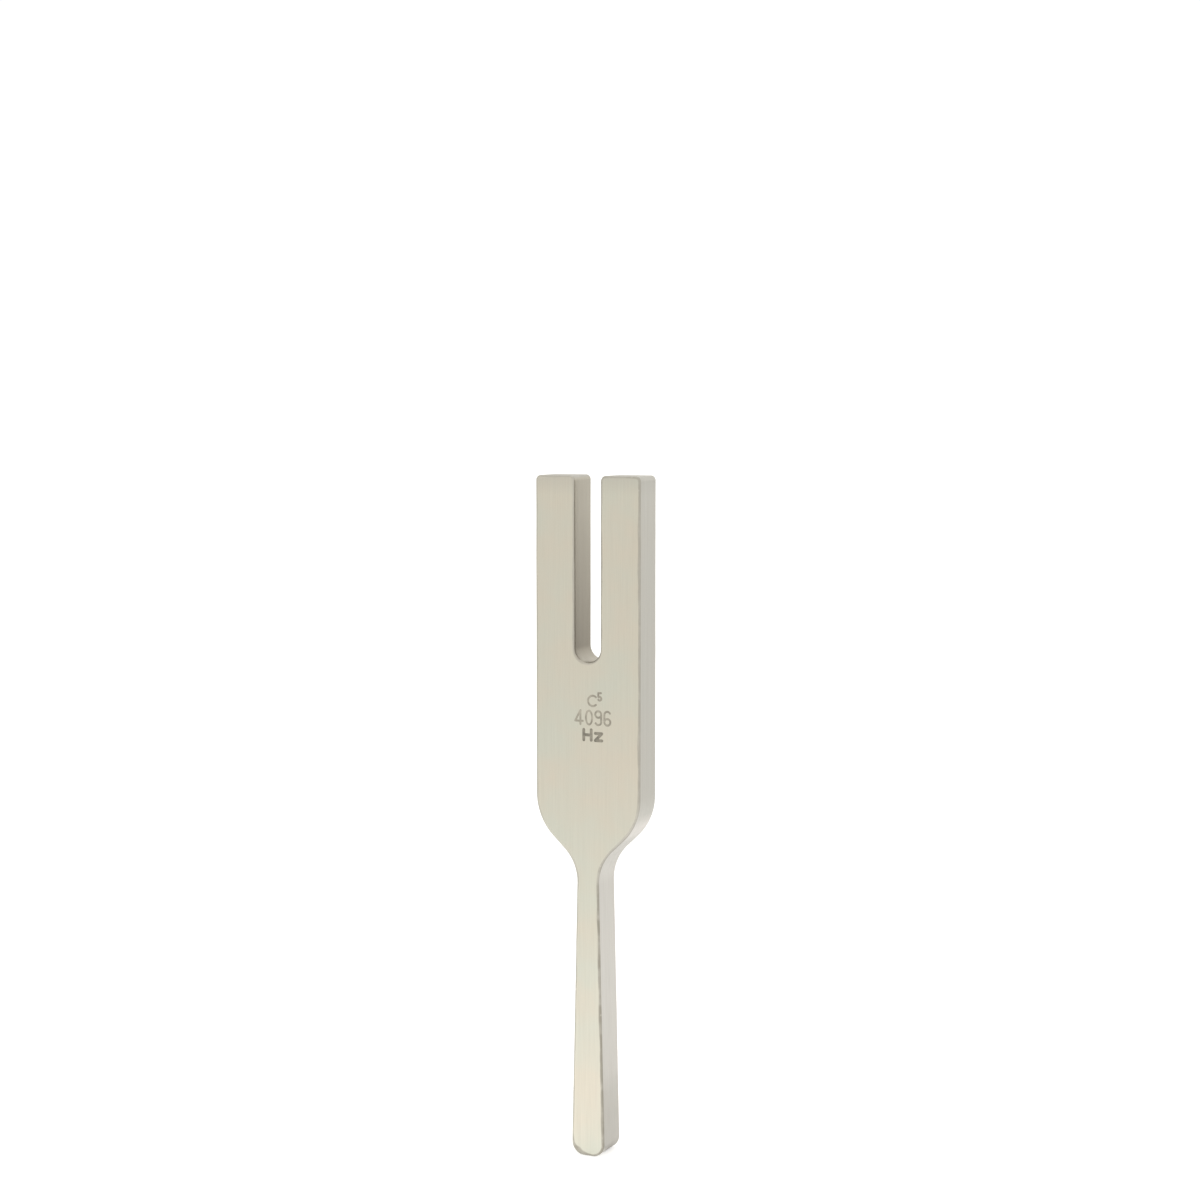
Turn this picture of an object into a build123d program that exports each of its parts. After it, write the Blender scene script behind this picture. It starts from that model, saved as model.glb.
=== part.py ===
"""Flat-bar tuning fork, note C5 at 4096 Hz.

The real fork is one bar of steel. It is cut here where it bends: each tine is its own
part, and so are the yoke that joins them, the stem, and the dark fill of the marks.
The fork stands on its stem. X runs across the tines, Y through the thickness, with the
marked face at -Y, and Z from the stem's foot up to the tips. The origin is the middle
of the foot's end. All sizes are in millimetres.
"""
from build123d import *
from math import atan2, tan
import os

# The bar
BODY_WIDTH = 23.0
THICKNESS = 8.0
EDGE_RADIUS = 0.5            # rounding along every front and back edge

# Tines, and the round-bottomed slot between them
SLOT_WIDTH = 5.7
SLOT_DEPTH = 37.3
TIP_CORNER_RADIUS = 1.0
ROOT_GAP = 0.02              # running gap where a tine bends from the yoke

# Yoke: the plain block under the slot, then shoulders that slope in to the stem
BLOCK_LENGTH = 32.1          # slot bottom to the shoulder corner
SHOULDER_DROP = 8.7          # shoulder corner to the neck corner
SHOULDER_RADIUS = 11.6
NECK_RADIUS = 9.4

# Stem, which widens towards its foot
STEM_LENGTH = 60.1           # foot to the neck corner
NECK_WIDTH = 4.6             # at the neck corner, before its rounding
FOOT_WIDTH = 7.3
FOOT_CORNER_RADIUS = 2.6

# Marks on the front face, in rows below the slot
MARKS_X = 1.2                # middle of the rows, right of the fork's middle
MARKS_DROP = 6.4             # slot bottom to the top of the first row
ROW_GAP = 0.55
CHARACTER_GAP = 0.28
NOTE_HEIGHT = 2.5
OCTAVE_HEIGHT = 1.9
OCTAVE_RISE = 1.2            # foot of the octave digit above the note's foot
OCTAVE_GAP = 0.12
NUMBER_HEIGHT = 3.2
UNIT_HEIGHT = 2.7
THIN_STROKE = 0.42
BOLD_STROKE = 0.62
ENGRAVING_DEPTH = 0.15
FILL_SINK = 0.03             # the fill stops this far below the face

SLOT_BOTTOM = STEM_LENGTH + SHOULDER_DROP + BLOCK_LENGTH
TINE_ROOT = SLOT_BOTTOM + SLOT_WIDTH / 2
TIPS = SLOT_BOTTOM + SLOT_DEPTH

SLOPE = atan2((BODY_WIDTH - NECK_WIDTH) / 2, SHOULDER_DROP)
TAPER = atan2((FOOT_WIDTH - NECK_WIDTH) / 2, STEM_LENGTH)
STEM_TOP = STEM_LENGTH - NECK_RADIUS * tan((SLOPE + TAPER) / 2)     # where the stem starts to flare


def at_height(shape, height):
    """The corners of an outline that lie at one height."""
    return [v for v in shape.vertices() if abs(v.Y - height) < 1e-6]


def outline():
    """The fork seen from the front, with every corner of the outline rounded."""
    right = [
        (FOOT_WIDTH / 2, 0),
        (NECK_WIDTH / 2, STEM_LENGTH),
        (BODY_WIDTH / 2, STEM_LENGTH + SHOULDER_DROP),
        (BODY_WIDTH / 2, TIPS),
    ]
    left = [(-x, z) for x, z in reversed(right)]
    shape = make_face(Polyline(*right, *left, close=True))
    slot = Pos(0, (TINE_ROOT + TIPS) / 2) * Rectangle(SLOT_WIDTH, TIPS - TINE_ROOT)
    slot += Pos(0, TINE_ROOT) * Circle(SLOT_WIDTH / 2)
    shape -= slot
    corners = [
        (0, FOOT_CORNER_RADIUS),
        (STEM_LENGTH, NECK_RADIUS),
        (STEM_LENGTH + SHOULDER_DROP, SHOULDER_RADIUS),
        (TIPS, TIP_CORNER_RADIUS),
    ]
    for height, radius in corners:
        shape = fillet(at_height(shape, height), radius)
    return shape


def whole_bar():
    """The fork in one piece, with its front and back edges rounded."""
    bar = extrude(Plane.XZ * outline(), THICKNESS / 2, both=True)
    across = bar.faces().sort_by(Axis.Y)
    return fillet(across[0].edges() + across[-1].edges(), EDGE_RADIUS)


def above(shape, height):
    return split(shape, Plane.XY.offset(height), Keep.TOP)


def below(shape, height):
    return split(shape, Plane.XY.offset(height), Keep.BOTTOM)


def line(start, end, stroke):
    """A straight cut, as a round-nosed engraving cutter leaves it."""
    return SlotArc(Line(start, end), stroke)


def arc(centre, radius, start, sweep, stroke):
    """A round cut, anticlockwise from the angle start."""
    return SlotArc(CenterArc(centre, radius, start, sweep), stroke)


def letter_c(height, stroke):
    radius = (height - stroke) / 2
    return arc((0, height / 2), radius, 48, 264, stroke)


def letter_h(height, stroke):
    reach = height * 0.42 - stroke / 2
    end = stroke / 2
    shape = line((-reach, end), (-reach, height - end), stroke)
    shape += line((reach, end), (reach, height - end), stroke)
    shape += line((-reach, height / 2), (reach, height / 2), stroke)
    return shape


def letter_z(height, stroke):
    """A small z: its top is at three quarters of the height of a capital."""
    reach = height * 0.38 - stroke / 2
    low = stroke / 2
    high = height * 0.76 - stroke / 2
    shape = line((-reach, high), (reach, high), stroke)
    shape += line((-reach, low), (reach, high), stroke)
    shape += line((-reach, low), (reach, low), stroke)
    return shape


def digit_0(height, stroke):
    middle = Pos(0, height / 2)
    half_width = height * 0.28
    ring = middle * Ellipse(half_width, height / 2)
    ring -= middle * Ellipse(half_width - stroke, height / 2 - stroke)
    return ring


def digit_4(height, stroke):
    post = height * 0.1
    bar = height * 0.27
    end = stroke / 2
    shape = line((post, end), (post, height - end), stroke)
    shape += line((post, height - end), (-height * 0.26, bar), stroke)
    shape += line((-height * 0.26, bar), (height * 0.26, bar), stroke)
    return shape


def digit_5(height, stroke):
    bowl = height * 0.3 - stroke / 2
    side = -bowl * 0.8
    top = height - stroke / 2
    middle = (0, bowl + stroke / 2)
    shape = arc(middle, bowl, -140, 270, stroke)
    shape += line((side, height * 0.5), (side, top), stroke)
    shape += line((side, top), (bowl * 0.8, top), stroke)
    return shape


def digit_9(height, stroke):
    """A ring at the top, and a tail that falls from its right side."""
    bowl = height * 0.27 - stroke / 2
    centre = (0, height - bowl - stroke / 2)
    shape = Pos(*centre) * Circle(bowl + stroke / 2)
    shape -= Pos(*centre) * Circle(bowl - stroke / 2)
    foot = bowl + stroke / 2
    shape += line((bowl, centre[1]), (bowl, foot), stroke)
    shape += arc((0, foot), bowl, -150, 150, stroke)
    return shape


def digit_6(height, stroke):
    """A nine turned half round."""
    return Pos(0, height) * Rot(0, 0, 180) * digit_9(height, stroke)


def half_width(shape):
    return shape.bounding_box().size.X / 2


def row(shapes, gap):
    """Characters side by side, with equal gaps, centred on the column of marks."""
    reach = sum(half_width(shape) for shape in shapes) + gap * (len(shapes) - 1) / 2
    x = MARKS_X - reach
    placed = []
    for shape in shapes:
        placed.append(Pos(x - shape.bounding_box().min.X, 0) * shape)
        x += 2 * half_width(shape) + gap
    return placed


def pitch_mark(foot):
    """The note's letter, with its octave as a small raised digit."""
    note = Pos(MARKS_X, 0) * letter_c(NOTE_HEIGHT, THIN_STROKE)
    octave = digit_5(OCTAVE_HEIGHT, THIN_STROKE)
    x = note.bounding_box().max.X + OCTAVE_GAP - octave.bounding_box().min.X
    return [Pos(0, foot) * note, Pos(x, foot + OCTAVE_RISE) * octave]


def frequency_mark(foot):
    """The four digits of the frequency."""
    digits = [digit(NUMBER_HEIGHT, THIN_STROKE) for digit in (digit_4, digit_0, digit_9, digit_6)]
    return [Pos(0, foot) * digit for digit in row(digits, CHARACTER_GAP)]


def unit_mark(foot):
    """The unit of frequency, in bold letters."""
    letters = [letter(UNIT_HEIGHT, BOLD_STROKE) for letter in (letter_h, letter_z)]
    return [Pos(0, foot) * letter for letter in row(letters, CHARACTER_GAP)]


def engraving(characters):
    """The recesses that some characters are cut to, and the fill that lies in them."""
    face = Plane.XZ.offset(THICKNESS / 2)
    sunk = Plane.XZ.offset(THICKNESS / 2 - FILL_SINK)
    recesses = [extrude(face * shape, -ENGRAVING_DEPTH) for shape in characters]
    fills = [extrude(sunk * shape, FILL_SINK - ENGRAVING_DEPTH) for shape in characters]
    return recesses, fills


def build_nodes():
    bar = whole_bar()
    tines = above(bar, TINE_ROOT + ROOT_GAP)
    left_tine, right_tine = tines.solids().sort_by(Axis.X)
    nodes = {
        "stem": below(bar, STEM_TOP),
        "left_tine": left_tine,
        "right_tine": right_tine,
    }
    yoke = above(below(bar, TINE_ROOT), STEM_TOP)
    note_foot = SLOT_BOTTOM - MARKS_DROP - NOTE_HEIGHT
    number_foot = note_foot - ROW_GAP - NUMBER_HEIGHT
    unit_foot = number_foot - ROW_GAP - UNIT_HEIGHT
    marks = {
        "pitch_mark": pitch_mark(note_foot),
        "frequency_mark": frequency_mark(number_foot),
        "unit_mark": unit_mark(unit_foot),
    }
    for name, characters in marks.items():
        recesses, fills = engraving(characters)
        for recess in recesses:
            yoke -= recess
        nodes[name] = Compound(children=fills)
    nodes["yoke"] = yoke
    return nodes


os.makedirs("parts", exist_ok=True)
for name, shape in build_nodes().items():
    export_step(shape, f"parts/{name}.step")
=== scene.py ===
"""Matt nickel tuning fork, standing on a pale floor in soft studio light.

The fork's metal is one bar. A Geometry Nodes tree grows it from its outline: the outline
is swept with a rounded edge, the two faces are filled, and the marks are sunk into the
front one. The bar is then cut at the roots of the tines.
All sizes are in metres.
"""
import bmesh
import bpy
from math import atan2, cos, pi, radians, sin, tan
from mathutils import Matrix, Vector


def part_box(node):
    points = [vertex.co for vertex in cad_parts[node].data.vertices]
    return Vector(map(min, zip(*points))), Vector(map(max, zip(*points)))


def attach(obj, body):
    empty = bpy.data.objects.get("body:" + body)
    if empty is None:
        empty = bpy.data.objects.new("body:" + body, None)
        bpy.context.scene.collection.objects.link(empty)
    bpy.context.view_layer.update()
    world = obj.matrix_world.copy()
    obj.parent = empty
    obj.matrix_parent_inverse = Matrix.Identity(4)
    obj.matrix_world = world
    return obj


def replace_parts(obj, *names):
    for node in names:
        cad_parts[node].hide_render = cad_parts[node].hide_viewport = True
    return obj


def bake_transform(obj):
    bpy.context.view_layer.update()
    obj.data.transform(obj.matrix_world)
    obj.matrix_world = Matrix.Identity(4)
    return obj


# Sizes of the bar that the frame's boxes don't show
BLOCK_LENGTH = 0.0321
SHOULDER_DROP = 0.0087
SHOULDER_RADIUS = 0.0116
NECK_WIDTH = 0.0046
NECK_RADIUS = 0.0094
FOOT_WIDTH = 0.0073
FOOT_CORNER_RADIUS = 0.0026
TIP_CORNER_RADIUS = 0.001
EDGE_RADIUS = 0.0005
EDGE_STEPS = 8
ENGRAVING_DEPTH = 0.00015
ROOT_GAP = 0.00002
POINT_SPACING = 0.0008       # along the straight runs of the outline
ARC_STEP = radians(4)        # along its round stretches
SAME_PLACE = 1e-7            # points this close are one point
SHARP_EDGE = radians(30)     # edges that turn by more than this shade sharp

# Hand finishing of the edges
EDGE_WANDER = 0.35           # how far a rounding's width strays, as a share of it
EDGE_WANDER_SCALE = 170.0
SIDE_WAVE = 0.00002          # how far the sides stray from flat
SIDE_WAVE_SCALE = 110.0
FOOT_BEVEL_PLACE = (-0.0024, 0.0006, 0.004)   # across, up and forward: the foot's front left corner
FOOT_BEVEL_SIZE = 0.0019     # how far from its place it reaches
FOOT_BEVEL_DEPTH = 2.2       # how much wider than elsewhere the rounding is ground there

# Finishes and painted light and shade, as linear colours
NICKEL_WARM = (0.704, 0.658, 0.561, 1.0)
NICKEL_COOL = (0.667, 0.671, 0.586, 1.0)
# painted shade on the sides of the block, cooler and darker than the front
SIDE_PAINTED_SHADE = (0.632, 0.628, 0.6, 1.0)
# painted light on the sides of the stem
STEM_SIDE_PAINTED_LIGHT = (0.726, 0.712, 0.692, 1.0)
# painted highlight on the slope under the right shoulder
SLOPE_PAINTED_HIGHLIGHT = (0.86, 0.835, 0.815, 1.0)
# painted shade on the left side
PAINTED_SHADE_LEFT = (0.57, 0.56, 0.53, 1.0)
# painted shade towards the tips
TIPS_PAINTED_SHADE = (0.50, 0.485, 0.45, 1.0)
NICKEL_WORN = (0.78, 0.76, 0.71, 1.0)
# bare steel, for the brushing lines and the wear along the edges; also painted shade on the stem's right
# side and at the foot's left corner
BARE_STEEL_AND_SHADE = (0.37, 0.35, 0.3, 1.0)
# the slot's steel colour, partly the milling's own finish and partly painted shade between the tines
MILLED_STEEL_AND_SHADE = (0.56, 0.53, 0.46, 1.0)
# painted shade, darkest at the tines' roots
SLOT_ROOT_PAINTED_SHADE = (0.33, 0.30, 0.25, 1.0)
THIN_FILL = [(0.28, 0.26, 0.215, 1.0), (0.46, 0.43, 0.36, 1.0)]     # at its thickest, and worn thin
BOLD_FILL = [(0.19, 0.177, 0.146, 1.0), (0.34, 0.315, 0.26, 1.0)]

# Where the painted light and shade on the sides change. Each pair is the start and the end of a soft
# change.
SIDE_SHARE = 0.8                     # how much of the sides' painted light and shade shows
SIDE_CHANGE = (0.002, 0.013)         # from the stem's to the block's, above the stem's upper end
SLOPE_RISE = (0.0085, 0.0105)        # the painted highlight on the slope under the right shoulder, above the same end
SLOPE_FALL = (0.012, 0.0145)
STEM_SHADE_RISE = (0.003, 0.008)           # where painted shade darkens the stem's right side, above the foot
STEM_SHADE_FALL = (0.013, 0.017)
STEM_SHADE_SHARE = 0.16
LEFT_SIDE = (0.0, -0.001)            # across the middle, to the painted shade on the left side
# Painted shade towards the tips: how far down it reaches, and how much of it shows
TIP_SHADE_LENGTH = 0.004
TIP_SHADE_SHARE = 0.4

# The slot, cut by milling: painted shade darkens its walls from near the tips to below the roots, over a
# colour that is partly the milling's finish, and its bottom is light
MILLED_BELOW_ROOT = 0.003
MILLED_BELOW_TIPS = 0.006
SLOT_FADE_START = 0.00005            # how far into the metal beside the slot its finish fades
SLOT_FADE_END = 0.0003

# Brushing along the bar. The pairs are the part of a noise that becomes 0 to 1.
NICKEL_ROUGHNESS = 0.38
BRUSH_ROUGHNESS = 0.2
BRUSH_BUMP = 0.5
BRUSH_DEPTH = 0.00002
LINE_SHADE = 0.1
STREAK_SHADE = 0.05
NOISE_MIDDLE = (0.3, 0.7)
CLOUD_MIDDLE = (0.35, 0.65)

# Wear along the edges
RUB_SCALE = 400.0
WORN_FROM = (-0.1, 0.55)
WORN_EDGE = (0.0, 0.6)               # how far round an edge the wear begins and is whole
BODY_WEAR = 0.6                      # how worn the block's edges are beside the stem's
BODY_WEAR_CHANGE = (-0.004, 0.006)   # from the stem's upper end
SPARED_LEFT = 0.45                   # how much less the left half's edges are worn
SPARED_CHANGE = (0.0008, -0.0008)    # across the middle
NICK_FROM = (0.69, 0.77)
NICK_POLISH = 0.12

# The marks' fill
FILL_ROUGHNESS = 0.55
FILL_ROUGHNESS_SPREAD = 0.3
FILL_BUMP = 0.3
FILL_GRIT_DEPTH = 0.00003

# Studio: a white tent, with a floor that glows in front, a painted pool of light
FLOOR_RADIUS = 6.0
FLOOR_SIDES = 96
FLOOR_COLOUR = (0.8, 0.8, 0.8, 1.0)
FLOOR_ROUGHNESS = 0.9
FLOOR_GLOW_SEEN = 0.5
FLOOR_GLOW_FRONT = 0.5
FLOOR_GLOW_BACK = 0.24
FLOOR_GLOW_REACH = 0.35
FLOOR_GLOW_CLOSE = 0.08              # close to the foot, the floor behind stays dark, a painted shadow
FLOOR_FRONT_AZIMUTH = radians(-25)   # from straight ahead, towards the left
FLOOR_FRONT_EDGE = (-0.5, 0.5)       # where back turns to front, as cosines
WHITE = (1.0, 1.0, 1.0, 1.0)
SKY_SEEN = 1.05
ROOM_COLOUR = (0.976, 0.956, 0.911, 1.0)
ROOM_LIGHT = 1.0
OVERHEAD_ELEVATION = radians(89)
OVERHEAD_DISTANCE = 1.2
OVERHEAD_SIZE = 0.7
OVERHEAD_RADIANCE = 0.4

# Camera: where it stands, seen from the middle of the front face, and its lens
CAMERA_AZIMUTH = radians(25.42)
CAMERA_DISTANCE = 0.4844
CAMERA_HEIGHT = 0.1554
CAMERA_YAW = radians(25.12)
CAMERA_PITCH = radians(4.95)
CAMERA_LENS = 73.2
SENSOR_WIDTH = 36.0
NEAREST_SEEN = 0.01


# ---------------------------------------------------------------- the bar's outline

def rounded_path(corners):
    """Points round a closed outline whose corners (x, z, radius) are given anticlockwise."""
    points = []
    count = len(corners)
    for i, (x, z, radius) in enumerate(corners):
        here = Vector((x, z))
        before = Vector(corners[i - 1][:2])
        after = Vector(corners[(i + 1) % count][:2])
        way_in = (here - before).normalized()
        way_out = (after - here).normalized()
        turn = atan2(way_in.cross(way_out), way_in.dot(way_out))
        reach = radius * tan(abs(turn) / 2)
        start = here - way_in * reach
        side = 1 if turn > 0 else -1
        centre = start + Vector((-way_in.y, way_in.x)) * radius * side
        steps = max(2, round(abs(turn) / ARC_STEP))
        for step in range(steps + 1):
            points.append(centre + turned(start - centre, turn * step / steps))
    return space_out(points)


def turned(arm, angle):
    """A flat vector turned anticlockwise by an angle."""
    return Vector((arm.x * cos(angle) - arm.y * sin(angle), arm.x * sin(angle) + arm.y * cos(angle)))


def space_out(points):
    """Fill the long gaps between the points of a closed outline, and drop doubled points."""
    spaced = []
    for i, point in enumerate(points):
        following = points[(i + 1) % len(points)]
        gap = (following - point).length
        if gap < SAME_PLACE:
            continue
        steps = max(1, round(gap / POINT_SPACING))
        spaced += [point.lerp(following, step / steps) for step in range(steps)]
    return spaced


def fork_outline():
    """The bar's outline seen from the front, from the foot up to the tips and down into the slot."""
    right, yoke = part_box("right_tine"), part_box("yoke")
    body = yoke[1][0]
    slot = right[0][0]
    tips = right[1][2]
    slot_bottom = right[0][2] - ROOT_GAP - slot
    shoulder = slot_bottom - BLOCK_LENGTH
    neck = shoulder - SHOULDER_DROP
    half = [
        (FOOT_WIDTH / 2, 0, FOOT_CORNER_RADIUS),
        (NECK_WIDTH / 2, neck, NECK_RADIUS),
        (body, shoulder, SHOULDER_RADIUS),
        (body, tips, TIP_CORNER_RADIUS),
        (slot, tips, TIP_CORNER_RADIUS),
        (slot, slot_bottom, slot),
    ]
    return rounded_path(half + [(-x, z, radius) for x, z, radius in reversed(half)])


def mark_loops(node):
    """The outlines of a mark's characters, read from the outer face of its fill."""
    mesh = bmesh.new()
    mesh.from_mesh(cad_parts[node].data)
    bmesh.ops.remove_doubles(mesh, verts=mesh.verts, dist=SAME_PLACE)
    outer = min(v.co.y for v in mesh.verts)
    back = [f for f in mesh.faces if any(v.co.y > outer + ENGRAVING_DEPTH / 2 for v in f.verts)]
    bmesh.ops.delete(mesh, geom=back, context="FACES")
    loops = []
    left_over = {e for e in mesh.edges if len(e.link_faces) == 1}
    while left_over:
        edge = left_over.pop()
        corner = edge.link_faces[0].loops[0]
        while corner.edge != edge:
            corner = corner.link_loop_next
        first, vert = corner.vert, corner.link_loop_next.vert
        loop = [Vector((first.co.x, first.co.z))]
        while vert != first:
            loop.append(Vector((vert.co.x, vert.co.z)))
            edge = next(e for e in vert.link_edges if e in left_over)
            left_over.remove(edge)
            vert = edge.other_vert(vert)
        loops.append(loop)
    mesh.free()
    return loops


# ---------------------------------------------------------------- wiring node trees

def add(tree, kind, inputs=None, **settings):
    """Add a node. inputs maps a socket's name or number to a constant or another node's output."""
    node = tree.nodes.new(kind)
    for name, value in settings.items():
        setattr(node, name, value)
    for socket, value in (inputs or {}).items():
        if isinstance(value, bpy.types.NodeSocket):
            tree.links.new(value, node.inputs[socket])
        else:
            node.inputs[socket].default_value = value
    return node


def math(tree, operation, *values):
    return add(tree, "ShaderNodeMath", dict(enumerate(values)), operation=operation).outputs[0]


def scaled(tree, vector, factor):
    """A vector times a number."""
    return add(tree, "ShaderNodeVectorMath", {0: vector, "Scale": factor}, operation="SCALE").outputs[0]


def fading(tree, reach, size):
    """1 in the middle, falling softly to 0 outside a size."""
    share = math(tree, "DIVIDE", reach, size)
    return math(tree, "EXPONENT", math(tree, "MULTIPLY", math(tree, "MULTIPLY", share, share), -1.0))


def new_tree(name, kind, sockets):
    """A node group with named inputs and outputs, given as (name, direction, type, default)."""
    tree = bpy.data.node_groups.new(name, kind)
    for label, direction, socket_type, default in sockets:
        socket = tree.interface.new_socket(label, in_out=direction, socket_type=socket_type)
        if default is not None:
            socket.default_value = default
    return tree, tree.nodes.new("NodeGroupInput").outputs, tree.nodes.new("NodeGroupOutput").inputs


# ---------------------------------------------------------------- the bar

def edge_profile(tree, given):
    """Half of the bar's section: a rounded edge, the side, and the other rounded edge."""
    steps = given["Edge Steps"]
    last = math(tree, "MULTIPLY_ADD", steps, 2.0, 1.0)
    unit_line = add(tree, "GeometryNodeCurvePrimitiveLine")
    line = add(tree, "GeometryNodeResampleCurve",
               {"Curve": unit_line.outputs[0], "Count": math(tree, "ADD", last, 1.0)})
    index = add(tree, "GeometryNodeInputIndex").outputs[0]
    place = math(tree, "MINIMUM", index, math(tree, "SUBTRACT", last, index))
    angle = math(tree, "MULTIPLY", math(tree, "DIVIDE", place, steps), pi / 2)
    sink = math(tree, "SUBTRACT", 1.0, math(tree, "SINE", angle))
    drop = math(tree, "SUBTRACT", 1.0, math(tree, "COSINE", angle))
    face = math(tree, "SIGN", math(tree, "SUBTRACT", math(tree, "ADD", steps, 0.5), index))
    radius = given["Edge Radius"]
    inset = math(tree, "MULTIPLY", math(tree, "MULTIPLY", radius, sink), -1.0)
    level = math(tree, "SUBTRACT", math(tree, "DIVIDE", given["Thickness"], 2.0),
                 math(tree, "MULTIPLY", radius, drop))
    height = math(tree, "MULTIPLY", level, face)
    position = add(tree, "ShaderNodeCombineXYZ", {"X": inset, "Y": height}).outputs[0]
    shaped = add(tree, "GeometryNodeSetPosition", {"Geometry": line.outputs[0], "Position": position})
    rounding = math(tree, "SINE", math(tree, "MULTIPLY", angle, 2.0))
    profile = stored(tree, shaped.outputs[0], "sink", sink)
    profile = stored(tree, profile, "edge", rounding)
    return stored(tree, profile, "side", math(tree, "SINE", angle))


def stored(tree, geometry, name, value, kind="FLOAT"):
    """The geometry with a value kept on it under a name."""
    return add(tree, "GeometryNodeStoreNamedAttribute",
               {"Geometry": geometry, "Name": name, "Value": value}, data_type=kind).outputs[0]


def named(tree, name, kind="FLOAT"):
    """A value kept on the geometry under a name."""
    return add(tree, "GeometryNodeInputNamedAttribute", {"Name": name}, data_type=kind).outputs[0]


def noise(tree, scale):
    """Noise about zero, from about -1 to 1."""
    pattern = add(tree, "ShaderNodeTexNoise", {"Scale": scale, "Detail": 2.0}).outputs[0]
    return math(tree, "MULTIPLY_ADD", pattern, 4.0, -2.0)


def hand_ground(tree, wall, given):
    """The bar's wall with the small wander of hand finishing in its edges, and a bevelled foot corner."""
    edge_wander = math(tree, "MULTIPLY", noise(tree, EDGE_WANDER_SCALE), given["Edge Wander"])
    wave = math(tree, "MULTIPLY", noise(tree, SIDE_WAVE_SCALE), given["Side Wave"])
    place = add(tree, "GeometryNodeInputPosition").outputs[0]
    away = add(tree, "ShaderNodeVectorMath", {0: place, 1: given["Bevel Place"]}, operation="DISTANCE")
    fade = fading(tree, away.outputs["Value"], given["Bevel Size"])
    wider = math(tree, "MULTIPLY_ADD", fade, given["Bevel Depth"], edge_wander)
    width = math(tree, "MULTIPLY", math(tree, "MULTIPLY", named(tree, "sink"), given["Edge Radius"]), wider)
    shift = math(tree, "SUBTRACT", wave, width)
    offset = scaled(tree, named(tree, "outward", "FLOAT_VECTOR"), shift)
    return add(tree, "GeometryNodeSetPosition", {"Geometry": wall, "Offset": offset}).outputs[0]


def raised(tree, geometry, height):
    """A flat geometry lifted to a height."""
    shift = add(tree, "ShaderNodeCombineXYZ", {"Z": height}).outputs[0]
    return add(tree, "GeometryNodeTransform", {"Geometry": geometry, "Translation": shift}).outputs[0]


def filled(tree, curves, height, over):
    """Flat faces inside some closed curves, at a height, facing up, or down where they are turned over."""
    faces = add(tree, "GeometryNodeFillCurve", {"Curve": curves}, mode="TRIANGLES").outputs[0]
    if over:
        faces = add(tree, "GeometryNodeFlipFaces", {"Mesh": faces}).outputs[0]
    return raised(tree, faces, height)


def rim(tree, wall, operation):
    """The open edge of the wall, above or below its middle, as a closed curve."""
    faces = add(tree, "GeometryNodeInputMeshEdgeNeighbors").outputs[0]
    place = add(tree, "GeometryNodeInputPosition").outputs[0]
    height = add(tree, "ShaderNodeSeparateXYZ", {0: place}).outputs["Z"]
    is_rim = math(tree, "LESS_THAN", faces, 1.5)
    chosen = math(tree, "MULTIPLY", is_rim, math(tree, operation, height, 0.0))
    return add(tree, "GeometryNodeMeshToCurve", {"Mesh": wall, "Selection": chosen}).outputs[0]


def joined(tree, *parts):
    """Several geometries as one."""
    node = add(tree, "GeometryNodeJoinGeometry")
    for part in parts:
        tree.links.new(part, node.inputs[0])
    return node.outputs[0]


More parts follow.
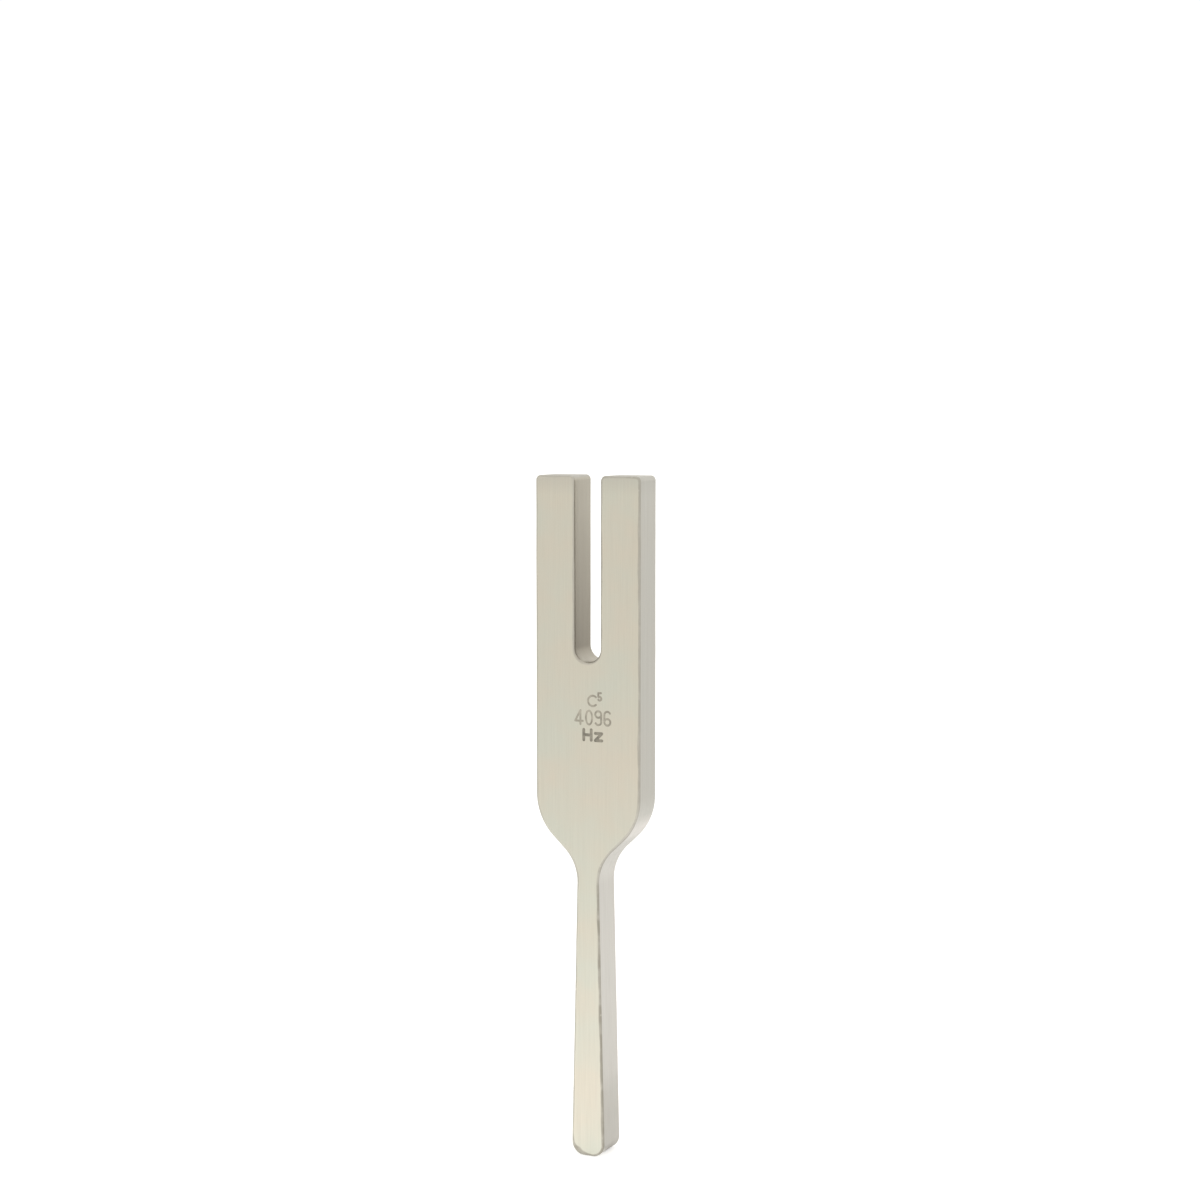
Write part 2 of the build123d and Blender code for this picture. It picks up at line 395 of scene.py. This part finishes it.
def bar_tree():
    """A bar of even thickness: the first curve is its outline, which is swept, and the rest are marks."""
    tree, given, result = new_tree("Rounded bar", "GeometryNodeTree", [
        ("Outline", "INPUT", "NodeSocketGeometry", None),
        ("Thickness", "INPUT", "NodeSocketFloat", 0.008),
        ("Edge Radius", "INPUT", "NodeSocketFloat", 0.0005),
        ("Edge Steps", "INPUT", "NodeSocketInt", 8),
        ("Edge Wander", "INPUT", "NodeSocketFloat", 0.0),
        ("Side Wave", "INPUT", "NodeSocketFloat", 0.0),
        ("Bevel Place", "INPUT", "NodeSocketVector", None),
        ("Bevel Size", "INPUT", "NodeSocketFloat", 0.001),
        ("Bevel Depth", "INPUT", "NodeSocketFloat", 0.0),
        ("Engraving Depth", "INPUT", "NodeSocketFloat", 0.00015),
        ("Material", "INPUT", "NodeSocketMaterial", None),
        ("Bar", "OUTPUT", "NodeSocketGeometry", None),
    ])
    half = math(tree, "DIVIDE", given["Thickness"], 2.0)
    index = add(tree, "GeometryNodeInputIndex").outputs[0]
    is_first = math(tree, "LESS_THAN", index, 0.5)
    parted = add(tree, "GeometryNodeSeparateGeometry",
                 {"Geometry": given["Outline"], "Selection": is_first}, domain="CURVE")
    outline, marks = parted.outputs["Selection"], parted.outputs["Inverted"]

    level = add(tree, "GeometryNodeSetCurveNormal", {"Curve": outline}, mode="Z_UP")
    normal = add(tree, "GeometryNodeInputNormal").outputs[0]
    outward = stored(tree, level.outputs[0], "outward", normal, "FLOAT_VECTOR")
    profile = edge_profile(tree, given)
    swept = add(tree, "GeometryNodeCurveToMesh", {"Curve": outward, "Profile Curve": profile})
    facing_out = add(tree, "GeometryNodeFlipFaces", {"Mesh": swept.outputs[0]})
    wall = hand_ground(tree, facing_out.outputs[0], given)

    face_curves = joined(tree, rim(tree, wall, "GREATER_THAN"), marks)
    front = filled(tree, face_curves, half, False)
    back = filled(tree, rim(tree, wall, "LESS_THAN"), math(tree, "MULTIPLY", half, -1.0), True)

    depth = given["Engraving Depth"]
    sunk = math(tree, "SUBTRACT", half, depth)
    recess_floor = filled(tree, marks, sunk, False)
    cut_end = add(tree, "ShaderNodeCombineXYZ", {"Y": depth}).outputs[0]
    cut = add(tree, "GeometryNodeCurvePrimitiveLine", {"Start": (0.0, 0.0, 0.0), "End": cut_end})
    level_marks = add(tree, "GeometryNodeSetCurveNormal", {"Curve": marks}, mode="Z_UP")
    recess_wall = add(tree, "GeometryNodeCurveToMesh",
                      {"Curve": level_marks.outputs[0], "Profile Curve": cut.outputs[0]})
    recess_wall = add(tree, "GeometryNodeFlipFaces", {"Mesh": recess_wall.outputs[0]})
    recess_wall = raised(tree, recess_wall.outputs[0], half)

    whole = joined(tree, wall, front, back, recess_floor, recess_wall)
    merged = add(tree, "GeometryNodeMergeByDistance", {"Geometry": whole, "Distance": 10 * SAME_PLACE})
    upright = add(tree, "GeometryNodeTransform",
                  {"Geometry": merged.outputs[0], "Rotation": (pi / 2, 0.0, 0.0)})
    single = add(tree, "GeometryNodeRealizeInstances", {"Geometry": upright.outputs[0]})
    finished = add(tree, "GeometryNodeSetMaterial",
                   {"Geometry": single.outputs[0], "Material": given["Material"]})
    tree.links.new(finished.outputs[0], result["Bar"])
    return tree


def closed_curves(name, loops):
    """A curve object that holds closed loops of (x, z) points, laid flat."""
    data = bpy.data.curves.new(name, "CURVE")
    data.dimensions = "3D"
    for loop in loops:
        spline = data.splines.new("POLY")
        spline.points.add(len(loop) - 1)
        for point, (x, z) in zip(spline.points, loop):
            point.co = (x, z, 0.0, 1.0)
        spline.use_cyclic_u = True
    host = bpy.data.objects.new(name, data)
    bpy.context.scene.collection.objects.link(host)
    return host


def grown(host, tree, values):
    """The plain mesh that a Geometry Nodes tree makes of an object. The object is then removed."""
    modifier = host.modifiers.new("Growth", "NODES")
    modifier.node_group = tree
    for item in tree.interface.items_tree:
        if item.in_out == "INPUT" and item.name in values:
            modifier[item.identifier] = values[item.name]
    host.update_tag()
    evaluated = host.evaluated_get(bpy.context.evaluated_depsgraph_get())
    mesh = bpy.data.meshes.new_from_object(evaluated)
    bpy.data.objects.remove(host)
    return mesh


def cut_off(mesh, height, keep_above):
    """A copy of a mesh, cut level at a height and closed there with a flat face."""
    part = bmesh.new()
    part.from_mesh(mesh)
    geometry = part.verts[:] + part.edges[:] + part.faces[:]
    cut = bmesh.ops.bisect_plane(
        part, geom=geometry, dist=SAME_PLACE, plane_co=(0, 0, height), plane_no=(0, 0, 1),
        clear_inner=keep_above, clear_outer=not keep_above)
    edges = [e for e in cut["geom_cut"] if isinstance(e, bmesh.types.BMEdge)]
    bmesh.ops.holes_fill(part, edges=edges)
    bmesh.ops.triangulate(part, faces=[f for f in part.faces if len(f.verts) > 4])
    return part


def on_side(part, sign):
    """Keep only the half of a cut mesh on one side of the middle."""
    other = [v for v in part.verts if v.co.x * sign < 0]
    bmesh.ops.delete(part, geom=other, context="VERTS")
    return part


def as_piece(name, part, metal):
    """A bmesh made into an object whose flat faces shade flat and whose rounded edges shade round."""
    for edge in part.edges:
        edge.smooth = edge.calc_face_angle(0) < SHARP_EDGE
    for face in part.faces:
        face.smooth = True
    mesh = bpy.data.meshes.new(name)
    part.to_mesh(mesh)
    part.free()
    for scaffold in ("outward", "sink"):
        mesh.attributes.remove(mesh.attributes[scaffold])
    mesh.materials.clear()
    mesh.materials.append(metal)
    piece = bpy.data.objects.new(name, mesh)
    bpy.context.scene.collection.objects.link(piece)
    weigh = piece.modifiers.new("Flat faces", "WEIGHTED_NORMAL")
    weigh.keep_sharp = True
    weigh.weight = 100
    evaluated = piece.evaluated_get(bpy.context.evaluated_depsgraph_get())
    piece.data = bpy.data.meshes.new_from_object(evaluated)
    piece.modifiers.clear()
    piece.data.name = name
    return piece


def build_metal(metal):
    """The bar with its sunk marks, as a still handle and two tines cut from it at their roots."""
    marks = []
    for node in ("pitch_mark", "frequency_mark", "unit_mark"):
        marks += mark_loops(node)
    low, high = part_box("yoke")
    mesh = grown(closed_curves("Outline", [fork_outline()] + marks), bar_tree(), {
        "Thickness": high.y - low.y,
        "Edge Radius": EDGE_RADIUS,
        "Edge Steps": EDGE_STEPS,
        "Edge Wander": EDGE_WANDER,
        "Side Wave": SIDE_WAVE,
        "Bevel Place": FOOT_BEVEL_PLACE,
        "Bevel Size": FOOT_BEVEL_SIZE,
        "Bevel Depth": FOOT_BEVEL_DEPTH,
        "Engraving Depth": ENGRAVING_DEPTH,
        "Material": metal,
    })
    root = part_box("right_tine")[0].z - ROOT_GAP
    handle = as_piece("yoke_and_stem", cut_off(mesh, root, False), metal)
    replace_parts(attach(handle, "handle"), "yoke", "stem")
    for side, sign in (("left", -1), ("right", 1)):
        tine = as_piece(side + "_prong_metal", on_side(cut_off(mesh, root, True), sign), metal)
        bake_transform(tine)
        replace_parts(tine, side + "_tine")


# ---------------------------------------------------------------- materials

def grain_group():
    """Fine grinding lines along the bar, broader streaks among them, and slow clouds in its plating."""
    tree, given, result = new_tree("Grain", "ShaderNodeTree", [
        ("Vector", "INPUT", "NodeSocketVector", None),
        ("Line Scale", "INPUT", "NodeSocketFloat", 5000.0),
        ("Streak Scale", "INPUT", "NodeSocketFloat", 1100.0),
        ("Stretch", "INPUT", "NodeSocketFloat", 0.02),
        ("Cloud Scale", "INPUT", "NodeSocketFloat", 90.0),
        ("Lines", "OUTPUT", "NodeSocketFloat", None),
        ("Streaks", "OUTPUT", "NodeSocketFloat", None),
        ("Clouds", "OUTPUT", "NodeSocketFloat", None),
    ])
    stretch = add(tree, "ShaderNodeCombineXYZ", {"X": 1.0, "Y": 1.0, "Z": given["Stretch"]}).outputs[0]
    factors = {0: given["Vector"], 1: stretch}
    along = add(tree, "ShaderNodeVectorMath", factors, operation="MULTIPLY").outputs[0]
    patterns = [
        ("Lines", along, given["Line Scale"], 4.0),
        ("Streaks", along, given["Streak Scale"], 3.0),
        ("Clouds", given["Vector"], given["Cloud Scale"], 3.0),
    ]
    for name, vector, scale, detail in patterns:
        pattern = add(tree, "ShaderNodeTexNoise", {"Vector": vector, "Scale": scale, "Detail": detail})
        tree.links.new(pattern.outputs[0], result[name])
    return tree


def colour_mix(tree, factor, first, second):
    return add(tree, "ShaderNodeMix", {0: factor, 6: first, 7: second}, data_type="RGBA").outputs[2]


def blank_material(name):
    """A new material, with its node tree and its Principled shader."""
    material = bpy.data.materials.new(name)
    material.use_nodes = True
    return material, material.node_tree, material.node_tree.nodes["Principled BSDF"]


def ramp(tree, value, start, end):
    """0 below start, 1 above end, and a straight rise between."""
    return add(tree, "ShaderNodeMapRange", {"Value": value, "From Min": start, "From Max": end}).outputs[0]


def band(tree, value, rise, fall):
    """1 between a rise and a fall, each a pair of its lower and its upper end, and 0 outside them."""
    return math(tree, "MULTIPLY", ramp(tree, value, *rise), ramp(tree, value, fall[1], fall[0]))


def above(height, places):
    """Two places measured up from a height."""
    return [height + place for place in places]


def attribute(tree, name):
    """A value that the bar's mesh carries under a name."""
    return add(tree, "ShaderNodeAttribute", attribute_name=name).outputs["Fac"]


def nickel_with_painted_light(tree, x, z, side, clouds):
    """The nickel's colour: warm and cool clouds, with painted light and shade on the sides, a painted
    highlight on the slope under the right shoulder, and painted shade towards the tips.
    """
    plating = colour_mix(tree, ramp(tree, clouds, *CLOUD_MIDDLE), NICKEL_WARM, NICKEL_COOL)
    stem_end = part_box("stem")[1].z
    # Painted light on the stem's sides, turning to painted shade on the block's sides
    side_light_and_shade = colour_mix(tree, ramp(tree, z, *above(stem_end, SIDE_CHANGE)), STEM_SIDE_PAINTED_LIGHT, SIDE_PAINTED_SHADE)
    # A painted highlight on the slope under the right shoulder
    slope = band(tree, z, above(stem_end, SLOPE_RISE), above(stem_end, SLOPE_FALL))
    side_light_and_shade = colour_mix(tree, slope, side_light_and_shade, SLOPE_PAINTED_HIGHLIGHT)
    # A band of painted shade on the stem's right side, above the foot
    stem_shade = math(tree, "MULTIPLY", band(tree, z, STEM_SHADE_RISE, STEM_SHADE_FALL), STEM_SHADE_SHARE)
    side_light_and_shade = colour_mix(tree, stem_shade, side_light_and_shade, BARE_STEEL_AND_SHADE)
    # Painted shade over the whole left side
    side_light_and_shade = colour_mix(tree, ramp(tree, x, *LEFT_SIDE), side_light_and_shade, PAINTED_SHADE_LEFT)
    # The sides mostly take the painted light and shade over the plating's own colour
    plating = colour_mix(tree, math(tree, "MULTIPLY", side, SIDE_SHARE), plating, side_light_and_shade)
    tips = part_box("right_tine")[1].z
    # Painted shade towards the tips
    tip_shade = math(tree, "MULTIPLY", ramp(tree, z, tips - TIP_SHADE_LENGTH, tips), TIP_SHADE_SHARE)
    return colour_mix(tree, tip_shade, plating, TIPS_PAINTED_SHADE)


def milled_and_shaded(tree, z):
    """The colour of the slot's walls, partly the milling's own finish and partly painted shade, darkest at
    the tines' roots, and of its lighter bottom.
    """
    low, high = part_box("right_tine")
    root, tips = low.z, high.z
    deep = root - MILLED_BELOW_ROOT
    wall = colour_mix(tree, ramp(tree, z, deep, tips - MILLED_BELOW_TIPS), SLOT_ROOT_PAINTED_SHADE, MILLED_STEEL_AND_SHADE)
    return colour_mix(tree, ramp(tree, z, root, deep), wall, MILLED_STEEL_AND_SHADE)


def in_slot(tree, x, z):
    """1 between the tines and down to the end of the slot, and 0 elsewhere."""
    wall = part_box("right_tine")[0].x
    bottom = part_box("yoke")[1].z - wall
    across = math(tree, "ABSOLUTE", x)
    beside = ramp(tree, across, wall + SLOT_FADE_START, wall + SLOT_FADE_END)
    over = ramp(tree, z, bottom - SLOT_FADE_END, bottom - SLOT_FADE_START)
    return math(tree, "MULTIPLY", over, math(tree, "SUBTRACT", 1.0, beside))


def edge_wear_and_foot_shade(tree, x, z, edge, rubbed):
    """How far the plating is worn through: along the edges, most on the stem, and less on the left except
    at the foot, where the left corner's darkness is partly wear and partly painted shade.
    """
    worn = math(tree, "MULTIPLY", ramp(tree, edge, *WORN_EDGE), ramp(tree, rubbed, *WORN_FROM))
    low, high = above(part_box("stem")[1].z, BODY_WEAR_CHANGE)
    handled = add(tree, "ShaderNodeMapRange", {
        "Value": z, "From Min": low, "From Max": high, "To Min": 1.0, "To Max": BODY_WEAR})
    worn = math(tree, "MULTIPLY", worn, handled.outputs[0])
    spared = math(tree, "MULTIPLY", ramp(tree, x, *SPARED_CHANGE), SPARED_LEFT)
    # At the foot the left edges are not spared: the dark foot corner is partly wear and partly painted
    # shade
    spared = math(tree, "MULTIPLY", spared, ramp(tree, z, FOOT_CORNER_RADIUS, 2 * FOOT_CORNER_RADIUS))
    return math(tree, "MULTIPLY", worn, math(tree, "SUBTRACT", 1.0, spared))


def matt_nickel(grain):
    """Matt nickel over steel: cut by milling in the slot, with grinding marks elsewhere, and worn through
    along the edges; its colour also holds painted light and shade on the sides, the slope, the tips, the
    slot and the foot's left corner.
    """
    material, tree, surface = blank_material("matt_nickel")
    place = add(tree, "ShaderNodeTexCoord").outputs["Object"]
    x, _, z = add(tree, "ShaderNodeSeparateXYZ", {0: place}).outputs
    lines, streaks, clouds = add(tree, "ShaderNodeGroup", {"Vector": place}, node_tree=grain).outputs
    patches = {"Vector": place, "Scale": RUB_SCALE, "Detail": 4.0}
    rubbed = add(tree, "ShaderNodeTexNoise", patches).outputs[0]
    side, edge = attribute(tree, "side"), attribute(tree, "edge")

    colour = nickel_with_painted_light(tree, x, z, side, clouds)
    slot_wall = math(tree, "MULTIPLY", in_slot(tree, x, z), side)
    # The slot's walls take their milled colour with painted shade
    colour = colour_mix(tree, slot_wall, colour, milled_and_shaded(tree, z))
    brushed = math(tree, "MULTIPLY", ramp(tree, lines, *NOISE_MIDDLE), LINE_SHADE)
    brushed = math(tree, "MULTIPLY_ADD", ramp(tree, streaks, *NOISE_MIDDLE), STREAK_SHADE, brushed)
    colour = colour_mix(tree, brushed, colour, BARE_STEEL_AND_SHADE)
    # Wear to bare steel along the edges, with painted shade at the foot's left corner
    colour = colour_mix(tree, edge_wear_and_foot_shade(tree, x, z, edge, rubbed), colour, BARE_STEEL_AND_SHADE)
    nicks = math(tree, "MULTIPLY", edge, ramp(tree, rubbed, *NICK_FROM))
    tree.links.new(colour_mix(tree, nicks, colour, NICKEL_WORN), surface.inputs["Base Color"])

    surface.inputs["Metallic"].default_value = 1.0
    both = math(tree, "ADD", lines, streaks)
    uneven = math(tree, "MULTIPLY_ADD", both, BRUSH_ROUGHNESS, NICKEL_ROUGHNESS - BRUSH_ROUGHNESS)
    rough = math(tree, "SUBTRACT", uneven, math(tree, "MULTIPLY", nicks, NICK_POLISH))
    tree.links.new(rough, surface.inputs["Roughness"])
    bump = add(tree, "ShaderNodeBump", {"Strength": BRUSH_BUMP, "Distance": BRUSH_DEPTH, "Height": lines})
    tree.links.new(bump.outputs[0], surface.inputs["Normal"])
    return material


def etched_fill(name, thickest, thinnest, grain):
    """Matt grey fill at the bottom of the engraving, thinner in places."""
    material, tree, surface = blank_material(name)
    place = add(tree, "ShaderNodeTexCoord").outputs["Object"]
    grit = {"Vector": place, "Line Scale": 6000.0, "Stretch": 1.0, "Cloud Scale": 900.0}
    lines, _, clouds = add(tree, "ShaderNodeGroup", grit, node_tree=grain).outputs
    colour = colour_mix(tree, ramp(tree, clouds, *NOISE_MIDDLE), thickest, thinnest)
    tree.links.new(colour, surface.inputs["Base Color"])
    rough = math(tree, "MULTIPLY_ADD", lines, FILL_ROUGHNESS_SPREAD, FILL_ROUGHNESS)
    tree.links.new(rough, surface.inputs["Roughness"])
    grit_height = {"Strength": FILL_BUMP, "Distance": FILL_GRIT_DEPTH, "Height": lines}
    bump = add(tree, "ShaderNodeBump", grit_height)
    tree.links.new(bump.outputs[0], surface.inputs["Normal"])
    return material


def dress_marks(grain):
    """The fills keep their own shapes and take a grey finish, darker in the bold row."""
    thin = etched_fill("thin_fill", *THIN_FILL, grain)
    bold = etched_fill("bold_fill", *BOLD_FILL, grain)
    for node, fill in (("pitch_mark", thin), ("frequency_mark", thin), ("unit_mark", bold)):
        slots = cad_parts[node].data.materials
        for place in range(len(slots)):
            slots[place] = fill


# ---------------------------------------------------------------- floor, light and camera

def floor_glow(tree):
    """The glow painted into the floor that the metal mirrors: most in front of the fork, some behind it,
    and a painted shadow close behind the foot.
    """
    place = add(tree, "ShaderNodeTexCoord").outputs["Object"]
    reach = add(tree, "ShaderNodeVectorMath", {0: place}, operation="LENGTH").outputs["Value"]
    way = add(tree, "ShaderNodeVectorMath", {0: place}, operation="NORMALIZE").outputs[0]
    front = (sin(FLOOR_FRONT_AZIMUTH), -cos(FLOOR_FRONT_AZIMUTH), 0.0)
    facing = add(tree, "ShaderNodeVectorMath", {0: way, 1: front}, operation="DOT_PRODUCT")
    ahead = ramp(tree, facing.outputs["Value"], *FLOOR_FRONT_EDGE)
    pool = fading(tree, reach, FLOOR_GLOW_REACH)
    ring = math(tree, "SUBTRACT", pool, fading(tree, reach, FLOOR_GLOW_CLOSE))
    lit = math(tree, "MULTIPLY", math(tree, "MULTIPLY", pool, ahead), FLOOR_GLOW_FRONT)
    behind = math(tree, "MULTIPLY", math(tree, "SUBTRACT", 1.0, ahead), FLOOR_GLOW_BACK)
    return math(tree, "MULTIPLY_ADD", ring, behind, lit)


def pale_floor():
    """A floor that is plain white to look at, and glows in front where the metal mirrors it, a painted pool
    of light.
    """
    material, tree, mirrored = blank_material("pale_floor")
    seen = tree.nodes.new("ShaderNodeBsdfPrincipled")
    for surface in (seen, mirrored):
        surface.inputs["Base Color"].default_value = FLOOR_COLOUR
        surface.inputs["Roughness"].default_value = FLOOR_ROUGHNESS
        surface.inputs["Specular IOR Level"].default_value = 0.0
        surface.inputs["Emission Color"].default_value = WHITE
    seen.inputs["Emission Strength"].default_value = FLOOR_GLOW_SEEN
    tree.links.new(floor_glow(tree), mirrored.inputs["Emission Strength"])
    chosen = chosen_by_eye(tree, seen.outputs[0], mirrored.outputs[0])
    tree.links.new(chosen, tree.nodes["Material Output"].inputs["Surface"])
    sheet = bmesh.new()
    bmesh.ops.create_circle(sheet, cap_ends=True, segments=FLOOR_SIDES, radius=FLOOR_RADIUS)
    mesh = bpy.data.meshes.new("floor")
    sheet.to_mesh(mesh)
    sheet.free()
    mesh.materials.append(material)
    floor = bpy.data.objects.new("floor", mesh)
    bpy.context.scene.collection.objects.link(floor)


def chosen_by_eye(tree, seen, mirrored):
    """One shader for what the eye sees straight, and another for what the metal mirrors."""
    straight = add(tree, "ShaderNodeLightPath").outputs["Is Camera Ray"]
    return add(tree, "ShaderNodeMixShader", {0: straight, 1: mirrored, 2: seen}).outputs[0]


def studio():
    """An even white studio: the sky is plain white to look at, and softer where the metal mirrors it."""
    world = bpy.data.worlds.new("studio")
    world.use_nodes = True
    bpy.context.scene.world = world
    tree = world.node_tree
    tree.nodes.clear()
    seen = add(tree, "ShaderNodeBackground", {"Color": WHITE, "Strength": SKY_SEEN})
    room = add(tree, "ShaderNodeBackground", {"Color": ROOM_COLOUR, "Strength": ROOM_LIGHT})
    out = tree.nodes.new("ShaderNodeOutputWorld")
    tree.links.new(chosen_by_eye(tree, seen.outputs[0], room.outputs[0]), out.inputs[0])


def overhead_light():
    """A soft square light above the fork, facing its middle."""
    light = bpy.data.lights.new("overhead", "AREA")
    light.shape = "SQUARE"
    light.size = OVERHEAD_SIZE
    light.energy = OVERHEAD_RADIANCE * pi * OVERHEAD_SIZE ** 2
    lamp = bpy.data.objects.new("overhead", light)
    away = Vector((0, -cos(OVERHEAD_ELEVATION), sin(OVERHEAD_ELEVATION)))
    middle = Vector((0, 0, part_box("right_tine")[1].z / 2))
    lamp.location = middle + away * OVERHEAD_DISTANCE
    lamp.rotation_euler = away.to_track_quat("Z", "Y").to_euler()
    lamp.visible_camera = False
    bpy.context.scene.collection.objects.link(lamp)


def camera():
    """The camera, to the right of the fork and a little above its tips, looking slightly down."""
    data = bpy.data.cameras.new("camera")
    data.lens = CAMERA_LENS
    data.sensor_width = SENSOR_WIDTH
    data.clip_start = NEAREST_SEEN
    seat = bpy.data.objects.new("camera", data)
    across = CAMERA_DISTANCE * sin(CAMERA_AZIMUTH)
    forward = CAMERA_DISTANCE * cos(CAMERA_AZIMUTH)
    seat.location = (across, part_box("yoke")[0].y - forward, CAMERA_HEIGHT)
    seat.rotation_euler = (pi / 2 - CAMERA_PITCH, 0, CAMERA_YAW)
    bpy.context.scene.collection.objects.link(seat)
    bpy.context.scene.camera = seat


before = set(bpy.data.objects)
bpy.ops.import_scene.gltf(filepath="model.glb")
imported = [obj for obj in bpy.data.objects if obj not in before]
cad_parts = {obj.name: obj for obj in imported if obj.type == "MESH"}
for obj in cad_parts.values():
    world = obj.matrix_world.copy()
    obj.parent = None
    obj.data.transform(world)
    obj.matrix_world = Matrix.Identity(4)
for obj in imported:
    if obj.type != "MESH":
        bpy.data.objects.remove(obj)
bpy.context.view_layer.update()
camera()
fine_grain = grain_group()
build_metal(matt_nickel(fine_grain))
dress_marks(fine_grain)
pale_floor()
studio()
overhead_light()
bpy.context.scene.view_settings.view_transform = "Standard"
